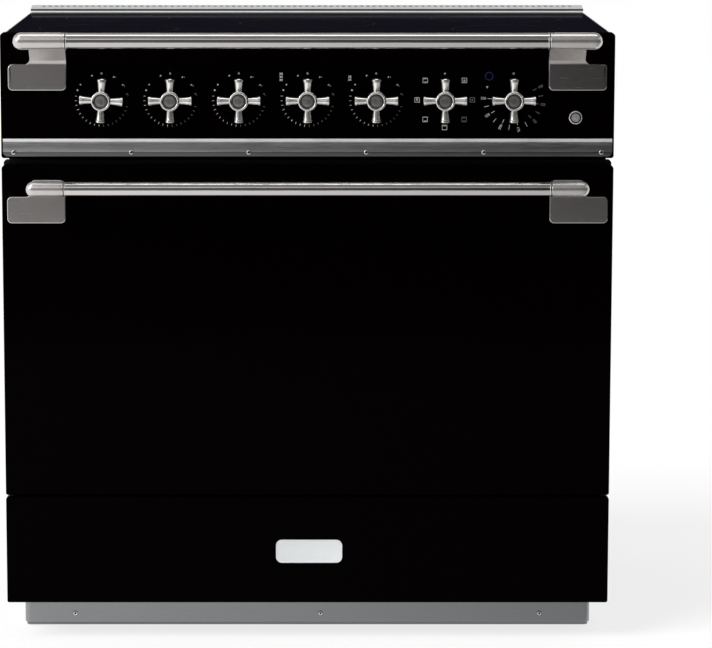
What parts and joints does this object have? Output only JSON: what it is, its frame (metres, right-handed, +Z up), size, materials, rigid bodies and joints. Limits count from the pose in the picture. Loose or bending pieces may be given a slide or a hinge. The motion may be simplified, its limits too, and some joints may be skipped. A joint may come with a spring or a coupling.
{
  "type": "range cooker",
  "caption": "Free-standing range cooker: induction hob, cross-head knobs, handrail, wide drop-down oven door, storage drawer and recessed plinth.",
  "frame": {"origin": "on the floor, in the middle of the plan of the whole cooker, handrail included", "axes": "+X to the right across the front, +Y from the front to the back, +Z up"},
  "size_m": [0.9, 0.6704, 0.915],
  "materials": {
    "black_enamel": "gloss vitreous enamel",
    "side_enamel": "semi-gloss enamel",
    "oven_enamel": "speckled grey-black vitreous enamel",
    "brushed_steel": "fine horizontal brushing",
    "satin_steel": "satin brushed",
    "bright_steel": "polished",
    "chrome": "polished",
    "zinc_steel": "galvanised sheet",
    "black_plastic": "moulded",
    "seal_rubber": "soft matt",
    "hob_glass": "black glass ceramic",
    "lamp_glass": "pressed",
    "coil_copper": "wound litz wire on a carrier",
    "mineral_wool": "soft blanket",
    "element_steel": "dark sheathed tube",
    "badge_silver": "satin"
  },
  "bodies": {
    "root": {"control_panel": "black_enamel", "trim_strip": "brushed_steel", "front_screws": "bright_steel", "rotary_switches": "black_plastic", "light_switch": "chrome", "handrail_tube": "satin_steel", "handrail_bracket_right": "satin_steel", "handrail_bracket_left": "satin_steel", "hinge_arms": "zinc_steel", "door_seal": "seal_rubber", "front_frame": "black_enamel", "side_panel_right": "side_enamel", "side_panel_left": "side_enamel", "back_panel": "zinc_steel", "terminal_cover": "zinc_steel", "cable_gland": "black_plastic", "hob_glass": "hob_glass", "hob_tray": "brushed_steel", "induction_coils": "coil_copper", "vent_trim": "brushed_steel", "oven_cavity": "oven_enamel", "oven_insulation": "mineral_wool", "shelf_support_right": "chrome", "shelf_support_left": "chrome", "grill_element": "element_steel", "ring_element": "element_steel", "fan_baffle": "oven_enamel", "fan_motor": "zinc_steel", "lamp_lens": "lamp_glass", "cooling_fan_housing": "zinc_steel", "drawer_runners": "zinc_steel", "base_frame": "zinc_steel", "plinth": "brushed_steel", "roller_brackets": "zinc_steel"},
    "door": {"door_skin": "black_enamel", "door_liner": "oven_enamel", "door_blanket": "mineral_wool", "door_hinges": "zinc_steel", "door_handle_tube": "satin_steel", "door_bracket_right": "satin_steel", "door_bracket_left": "satin_steel"},
    "drawer": {"drawer_front": "black_enamel", "drawer_box": "zinc_steel", "badge_plate": "badge_silver"},
    "button": {"light_button": "chrome"},
    "rack": {"wire_rack": "chrome"},
    "tin": {"roasting_tin": "oven_enamel"},
    "convection_fan": {"fan_impeller": "bright_steel"},
    "cooling_fan": {"cooling_impeller": "zinc_steel"},
    "left_foot": {"foot_left": "zinc_steel"},
    "right_foot": {"foot_right": "zinc_steel"},
    "left_roller": {"roller_left": "black_plastic"},
    "right_roller": {"roller_right": "black_plastic"},
    "body_hob_knob_1": {"hob_knob_1": "chrome"},
    "body_hob_knob_2": {"hob_knob_2": "chrome"},
    "body_hob_knob_3": {"hob_knob_3": "chrome"},
    "body_hob_knob_4": {"hob_knob_4": "chrome"},
    "body_hob_knob_5": {"hob_knob_5": "chrome"},
    "body_function_knob": {"function_knob": "chrome"},
    "body_temperature_knob": {"temperature_knob": "chrome"}
  },
  "joints": [
    {"name": "door_hinge", "type": "hinge", "parent": "root", "child": "door", "pos_m": [0.366, -0.26075, 0.2495], "axis": [1, 0, 0], "range_deg": [0, 90], "stiffness_Nm_per_rad": 18, "springref_deg": -14.32},
    {"name": "drawer_slide", "type": "slide", "parent": "root", "child": "drawer", "axis": [0, -1, 0], "range_m": [0, 0.38]},
    {"name": "button_press", "type": "slide", "parent": "root", "child": "button", "axis": [0, 1, 0], "range_m": [0, 0.003], "stiffness_N_per_m": 400},
    {"name": "rack_slide", "type": "slide", "parent": "root", "child": "rack", "axis": [0, -1, 0], "range_m": [0, 0.015]},
    {"name": "tin_slide", "type": "slide", "parent": "root", "child": "tin", "axis": [0, -1, 0], "range_m": [0, 0.015]},
    {"name": "convection_fan_spin", "type": "hinge", "parent": "root", "child": "convection_fan", "pos_m": [0, 0.2, 0.4605], "axis": [0, 1, 0], "continuous": true},
    {"name": "cooling_fan_spin", "type": "hinge", "parent": "root", "child": "cooling_fan", "pos_m": [0.12, 0.18805, 0.7555], "axis": [1, 0, 0], "continuous": true},
    {"name": "hob_knob_1_turn", "type": "hinge", "parent": "root", "child": "body_hob_knob_1", "pos_m": [-0.3015, -0.27275, 0.812], "axis": [0, 1, 0], "range_deg": [0, 300]},
    {"name": "hob_knob_2_turn", "type": "hinge", "parent": "root", "child": "body_hob_knob_2", "pos_m": [-0.201, -0.27275, 0.812], "axis": [0, 1, 0], "range_deg": [0, 300]},
    {"name": "hob_knob_3_turn", "type": "hinge", "parent": "root", "child": "body_hob_knob_3", "pos_m": [-0.1005, -0.27275, 0.812], "axis": [0, 1, 0], "range_deg": [0, 300]},
    {"name": "hob_knob_4_turn", "type": "hinge", "parent": "root", "child": "body_hob_knob_4", "pos_m": [0, -0.27275, 0.812], "axis": [0, 1, 0], "range_deg": [0, 300]},
    {"name": "hob_knob_5_turn", "type": "hinge", "parent": "root", "child": "body_hob_knob_5", "pos_m": [0.1005, -0.27275, 0.812], "axis": [0, 1, 0], "range_deg": [0, 300]},
    {"name": "function_knob_turn", "type": "hinge", "parent": "root", "child": "body_function_knob", "pos_m": [0.201, -0.27275, 0.812], "axis": [0, 1, 0], "continuous": true},
    {"name": "temperature_knob_turn", "type": "hinge", "parent": "root", "child": "body_temperature_knob", "pos_m": [0.3015, -0.27275, 0.812], "axis": [0, 1, 0], "range_deg": [0, 275]},
    {"name": "left_foot_screw", "type": "slide", "parent": "root", "child": "left_foot", "axis": [0, 0, -1], "range_m": [0, 0.02]},
    {"name": "right_foot_screw", "type": "slide", "parent": "root", "child": "right_foot", "axis": [0, 0, -1], "range_m": [0, 0.02]},
    {"name": "left_roller_spin", "type": "hinge", "parent": "root", "child": "left_roller", "pos_m": [-0.372, 0.23525, 0.02], "axis": [1, 0, 0], "continuous": true},
    {"name": "right_roller_spin", "type": "hinge", "parent": "root", "child": "right_roller", "pos_m": [0.372, 0.23525, 0.02], "axis": [1, 0, 0], "continuous": true}
  ]
}
